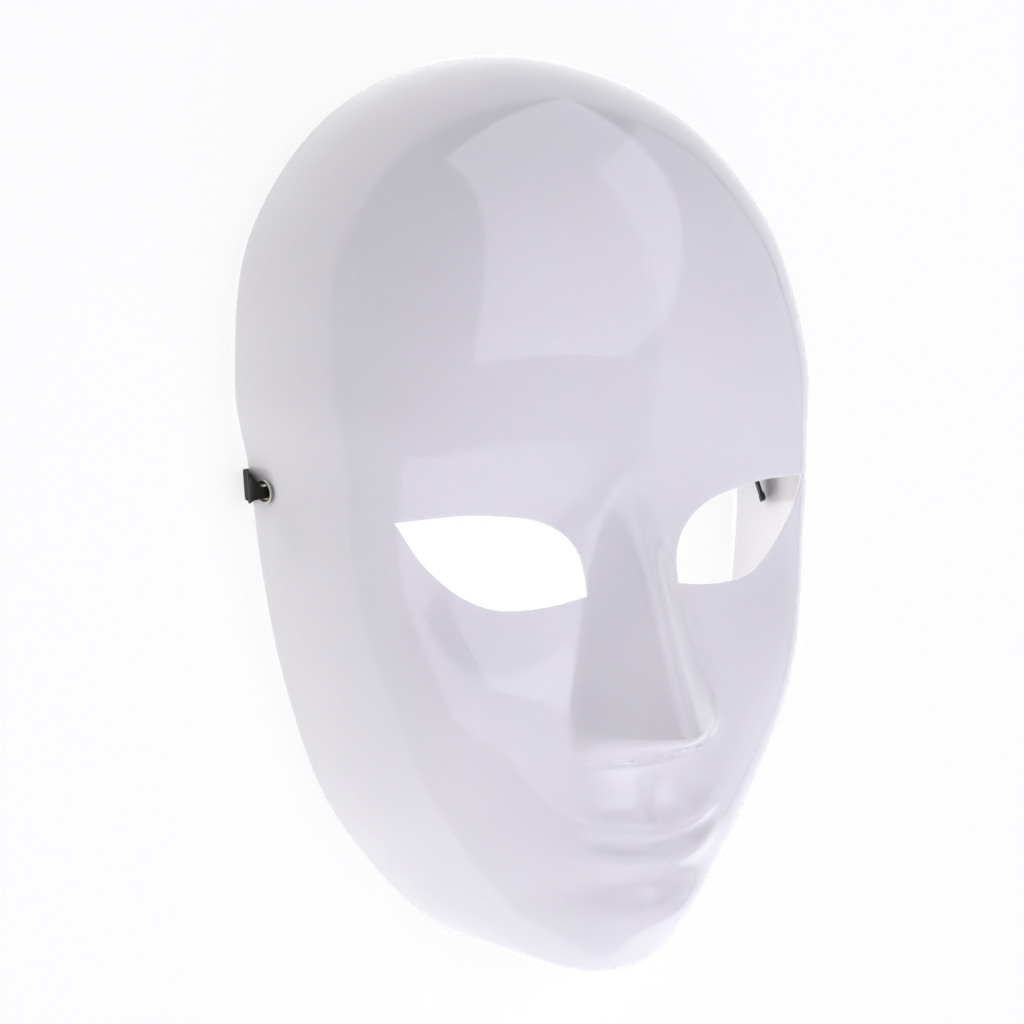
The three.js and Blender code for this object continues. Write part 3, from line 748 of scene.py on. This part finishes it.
def half_band(steps):
    """The left half of the band: its points, and its width and thickness directions at full length"""
    bore = [(SEAT_POINT + SEAT_NORMAL * away, LEVEL_ACROSS, GATHERED) for away in IN_BORE]
    marks = [*TAIL_MARKS, *bore, *SIDE_MARKS, *LOOP_MARKS]
    line = drawn_line([mark[0] for mark in marks], steps)
    tangents = np.gradient(line, axis=0)
    at = np.arange(len(line)) / steps

    def between_marks(part):
        columns = np.array([mark[part] for mark in marks], float).T
        return np.stack([np.interp(at, np.arange(len(marks)), column) for column in columns], axis=1)

    sizes = between_marks(2)
    through = np.cross(tangents, between_marks(1))
    through /= np.linalg.norm(through, axis=1, keepdims=True)
    across = np.cross(through, tangents)
    across /= np.linalg.norm(across, axis=1, keepdims=True)
    return line, across * sizes[:, :1], through * sizes[:, 1:]


def whole_band(steps):
    """The same of the whole band, from its end in the left temple to its end in the right one"""
    flip = np.array([-1, 1, 1])
    return [np.vstack([half, half[-2::-1] * flip]) for half in half_band(steps)]


def band_net(sizes, line, across, through, along):
    """The closed surface of the band. Each point keeps its place across and along it as its weave."""
    scale = sizes.width / (FLAT[0] * MM)
    bm = bmesh.new()
    bmesh.ops.create_circle(bm, segments=BAND_SIDES, radius=0.5)
    weave = bm.verts.layers.float_vector.new("weave")
    section = bm.verts.layers.float_vector.new("section")
    for vert in bm.verts:
        x, y = vert.co.x * 2, vert.co.y * 2
        u = math.copysign(abs(x) ** SQUARE_ACROSS, x)
        v = math.copysign(abs(y) ** SQUARE_THROUGH, y)
        vert[section] = Vector((u, v, 0)) / 2
    verts = list(bm.verts)
    edges = first = list(bm.edges)
    for station in range(len(line)):
        if station:
            made = bmesh.ops.extrude_edge_only(bm, edges=edges)["geom"]
            verts = [item for item in made if isinstance(item, bmesh.types.BMVert)]
            edges = [item for item in made if isinstance(item, bmesh.types.BMEdge)]
            edges = [edge for edge in edges if all(vert in verts for vert in edge.verts)]
        for vert in verts:
            u, v = vert[section][0], vert[section][1]
            place = line[station] + across[station] * (u * scale) + through[station] * v
            vert.co = Vector(place * MM)
            vert[weave] = (u * sizes.width, along[station], 0)
    for loop in (first, edges):
        bmesh.ops.edgeloop_fill(bm, edges=loop)
    bmesh.ops.recalc_face_normals(bm, faces=bm.faces)
    bm.verts.layers.float_vector.remove(bm.verts.layers.float_vector["section"])
    return bm


class MASK_OT_band(bpy.types.Operator):
    """Weaves the elastic band from its end in one temple to its end in the other"""
    bl_idname = "mask.band"
    bl_label = "Elastic Band"

    def execute(self, context):
        sizes = context.scene.mask_band
        line, across, through = whole_band(sizes.steps)
        along = np.r_[0, np.cumsum(np.linalg.norm(np.diff(line, axis=0), axis=1))] * MM
        bm = band_net(sizes, line, across, through, along)
        material = elastic_finish(sizes.colour, sizes.rib, sizes.pick)
        band = finish_piece("woven_band", bm, material, "elastic_band")
        return {"FINISHED"}


def ring_shares(face_rings, edge_rings):
    """How far from the hub to the rim each ring of the net lies"""
    out = np.linspace(0, SIDE_START, CROWDING_STEPS)[1:]
    crowding = out ** -HUB_CROWDING + LIPS_CROWDING * bell(out - LIPS_SHARE, LIPS_BREADTH)
    rings = np.cumsum(crowding) / crowding.sum()
    left = 1 - np.arange(1, edge_rings + 1) / edge_rings
    on_face = np.interp(np.arange(1, face_rings + 1) / face_rings, rings, out)
    return [*on_face, *(1 - (1 - SIDE_START) * left ** 2)]


def flat_net(rays, shares):
    """The net before it is formed: rays from the hub to the rim, and a ring at each of the shares"""
    bm = bmesh.new()
    chain = [bm.verts.new((share, 0, 0)) for share in (0, *shares)]
    lines = [bm.edges.new(pair) for pair in zip(chain, chain[1:])]
    spin_round(bm, chain, lines, rays)
    edge = spaced(RIM, rays + 1)[:-1]
    for vert in bm.verts:
        share = vert.co.xy.length
        ray = round(math.atan2(vert.co.y, vert.co.x) / math.tau * rays) % rays
        x, y = edge[ray][:2]
        vert.co = Vector((x * share, HUB_Y + (y - HUB_Y) * share, 0))
    bm.edges.index_update()
    return bm


def eye_outline():
    upper = even_line([EYE_OUTER, *EYE_UPPER_LID, EYE_INNER], False, EYE_STEPS)
    lower = even_line([EYE_INNER, *EYE_LOWER_LID, EYE_OUTER], False, EYE_STEPS)
    return np.vstack([upper[:-1], lower[:-1]])


def slit_outline(length, width):
    """A nostril slit with round ends, tilted and in its place"""
    half, radius = (length - width) / 2 / MM, width / 2 / MM
    turns = np.linspace(-math.pi / 2, math.pi / 2, SLIT_STEPS)
    cap = np.stack([np.cos(turns) * radius + half, np.sin(turns) * radius], axis=1)
    cosine, sine = math.cos(SLIT_TILT), math.sin(SLIT_TILT)
    tilt = np.array([[cosine, sine], [-sine, cosine]])
    return np.vstack([cap, -cap]) @ tilt + (SLIT_X, SLIT_Y)


def cut_face(bm, sizes):
    """Cuts the eye holes and nostril slits in the flat net"""
    eye, slit = eye_outline(), slit_outline(sizes.slit_length, sizes.slit_width)
    for side in (1, -1):
        flip = np.array([side, 1])
        corners = [np.array(EYE_OUTER) * flip, np.array(EYE_INNER) * flip]
        cut_hole(bm, eye * flip, *FLAT_PLANE, FLAT_DEPTH, EYE_SNAP, corners)
        cut_hole(bm, slit * flip, *FLAT_PLANE, FLAT_DEPTH, SLIT_SNAP)


def cut_temples(bm, radius):
    """Cuts the eyelet holes in the formed side"""
    turns = np.arange(HOLE_STEPS) / HOLE_STEPS * math.tau
    hole = np.stack([np.cos(turns), np.sin(turns)], axis=1) * radius
    for side in (1, -1):
        point, normal = seat(side)
        right = Vector((0, 1, 0)).cross(normal).cross(normal).normalized()
        cut_hole(bm, hole, right, normal.cross(right), point, SIDE_DEPTH, HOLE_SNAP)


class MASK_OT_sheet(bpy.types.Operator):
    """Forms the plastic sheet and cuts its eye holes, nostril slits and eyelet holes"""
    bl_idname = "mask.sheet"
    bl_label = "Plastic Sheet"

    def execute(self, context):
        sizes = context.scene.mask_sheet
        bm = flat_net(sizes.rays, ring_shares(sizes.face_rings, sizes.edge_rings))
        cut_face(bm, sizes)
        flat = np.array([vert.co for vert in bm.verts])
        for vert, height in zip(bm.verts, sheet_height(flat[:, 0], flat[:, 1])):
            vert.co.z = height
        cut_temples(bm, context.scene.mask_eyelets.barrel / MM + HOLE_GAP)

        bmesh.ops.scale(bm, vec=(MM, MM, MM), verts=bm.verts)
        bmesh.ops.recalc_face_normals(bm, faces=bm.faces)
        if sum(face.normal.z for face in bm.faces) < 0:
            bmesh.ops.reverse_faces(bm, faces=bm.faces)
        sheet = finish_piece("formed_sheet", bm, plastic_finish(sizes.colour), "mask_shell")

        wall = sheet.modifiers.new("wall", "SOLIDIFY")
        wall.thickness = sizes.wall
        wall.offset = -1
        wall.use_even_offset = True
        wall.use_quality_normals = True
        rounding = sheet.modifiers.new("rounding", "BEVEL")
        rounding.width = sizes.edge_round
        rounding.segments = EDGE_STEPS
        rounding.limit_method = "ANGLE"
        rounding.angle_limit = EDGE_ANGLE
        rounding.use_clamp_overlap = False
        rounding.harden_normals = True
        return {"FINISHED"}


def eyelet_profile(sizes, outside, inside):
    """The closed outline of an eyelet's section, as radius and height. The feet of its two flanges
    are at the heights outside and inside."""
    lip = (sizes.flange - sizes.bore) / 2
    middle, edge = sizes.bore + lip, sizes.roll * ROLL_EDGE

    def roll(height, start, end):
        return [(middle + lip * math.cos(turn), height + sizes.roll * ROLL_TOP * math.sin(turn))
                for turn in np.linspace(math.radians(start), math.radians(end), ROLL_STEPS)]

    foot = sizes.flange - sizes.roll * ROLL_FOOT
    barrel = [(foot, outside), (sizes.barrel, outside), (sizes.barrel, inside), (foot, inside)]
    return [*roll(outside + edge, 180, 0), *barrel, *roll(inside - edge, 0, -180)]


class MASK_OT_eyelets(bpy.types.Operator):
    """Rolls the two metal eyelets and sets them in the temples"""
    bl_idname = "mask.eyelets"
    bl_label = "Eyelets"

    def execute(self, context):
        sizes = context.scene.mask_eyelets
        material = nickel_finish(sizes.colour)
        outside = FLANGE_GAP * MM
        profile = eyelet_profile(sizes, outside, -context.scene.mask_sheet.wall - outside)
        for name, side in (("eyelet_right", -1), ("eyelet_left", 1)):
            bm = bmesh.new()
            verts = [bm.verts.new((radius, 0, height)) for radius, height in profile]
            loop = [bm.edges.new(pair) for pair in zip(verts, verts[1:] + verts[:1])]
            spin_round(bm, verts, loop, sizes.sides)
            point, normal = seat(side)
            turn = normal.to_track_quat("Z", "Y").to_matrix().to_4x4()
            place = Matrix.Translation(point * MM) @ turn
            bmesh.ops.transform(bm, matrix=place, verts=bm.verts)
            bmesh.ops.recalc_face_normals(bm, faces=bm.faces)
            finish_piece("rolled_" + name, bm, material, name)
        return {"FINISHED"}


def panel_light(light):
    """A flat soft light. It shines backwards from across x along, where along is from near to far edge."""
    near_edge, far_edge = Vector(light.near_edge), Vector(light.far_edge)
    length = (far_edge - near_edge).length
    middle = (near_edge + far_edge) / 2
    along = (far_edge - near_edge).normalized()
    across = Vector(light.across)
    across = (across - across.project(along)).normalized()
    data = bpy.data.lights.new(light.name, "AREA")
    data.shape = "RECTANGLE"
    data.size, data.size_y = light.width, length
    data.energy = light.radiance * light.width * length * math.pi
    data.color = light.tint
    panel = bpy.data.objects.new(light.name, data)
    turn = Matrix((across, along, across.cross(along))).transposed().to_4x4()
    panel.matrix_world = Matrix.Translation(middle) @ turn
    panel.visible_camera = False
    panel.visible_diffuse = light.lights
    panel.visible_glossy = light.mirrored
    bpy.context.scene.collection.objects.link(panel)


class MASK_OT_stage(bpy.types.Operator):
    """Lays the pale table and sets the soft lights round it"""
    bl_idname = "mask.stage"
    bl_label = "Stage"

    def execute(self, context):
        sizes = context.scene.mask_stage
        bm = bmesh.new()
        bmesh.ops.create_grid(bm, x_segments=8, y_segments=8, size=sizes.floor / 2)
        mesh = bpy.data.meshes.new("table")
        bm.to_mesh(mesh)
        bm.free()
        mesh.materials.append(table_finish(sizes.colour, sizes.glow, sizes.seen))
        table = bpy.data.objects.new("table", mesh)
        context.scene.collection.objects.link(table)

        world = bpy.data.worlds.new("surround")
        context.scene.world = world
        world.use_nodes = True
        tree = world.node_tree
        tree.nodes.clear()
        path = add_node(tree, "ShaderNodeLightPath").outputs
        seen, gloss = path["Is Camera Ray"], path["Is Glossy Ray"]
        strength = math_node(tree, "MULTIPLY_ADD", seen, sizes.background - sizes.surround, sizes.surround)
        strength = math_node(tree, "MULTIPLY_ADD", gloss, sizes.mirrored - sizes.surround, strength)
        back = add_node(tree, "ShaderNodeBackground", {"Color": (1, 1, 1, 1), "Strength": strength})
        out = add_node(tree, "ShaderNodeOutputWorld")
        tree.links.new(back.outputs["Background"], out.inputs["Surface"])

        for light in LIGHTS:
            panel_light(light)
        context.scene.view_settings.view_transform = "Standard"
        context.scene.view_settings.look = "None"
        return {"FINISHED"}


class MASK_PT_panel(bpy.types.Panel):
    """Lists the pieces of the mask"""
    bl_label = "Full Face Mask"
    bl_idname = "MASK_PT_panel"
    bl_space_type = "VIEW_3D"
    bl_region_type = "UI"
    bl_category = "Mask"

    def draw(self, context):
        for step in STEPS:
            self.layout.operator(step.bl_idname)
        for group in ("mask_sheet", "mask_eyelets", "mask_band", "mask_stage"):
            box = self.layout.box()
            for name in getattr(context.scene, group).__annotations__:
                box.prop(getattr(context.scene, group), name)


STEPS = (MASK_OT_camera, MASK_OT_band, MASK_OT_sheet, MASK_OT_eyelets, MASK_OT_stage)
GROUPS = {
    "mask_sheet": MaskSheetSizes,
    "mask_eyelets": MaskEyeletSizes,
    "mask_band": MaskBandSizes,
    "mask_stage": MaskStageSizes,
}


def register():
    for made in (*GROUPS.values(), *STEPS, MASK_PT_panel):
        bpy.utils.register_class(made)
    for name, group in GROUPS.items():
        setattr(bpy.types.Scene, name, PointerProperty(type=group))


def unregister():
    for name in GROUPS:
        delattr(bpy.types.Scene, name)
    for made in reversed((*GROUPS.values(), *STEPS, MASK_PT_panel)):
        bpy.utils.unregister_class(made)


def main():
    register()
    for step in (bpy.ops.mask.camera, bpy.ops.mask.band, bpy.ops.mask.sheet,
                 bpy.ops.mask.eyelets, bpy.ops.mask.stage):
        step()


if __name__ == "__main__":
    main()
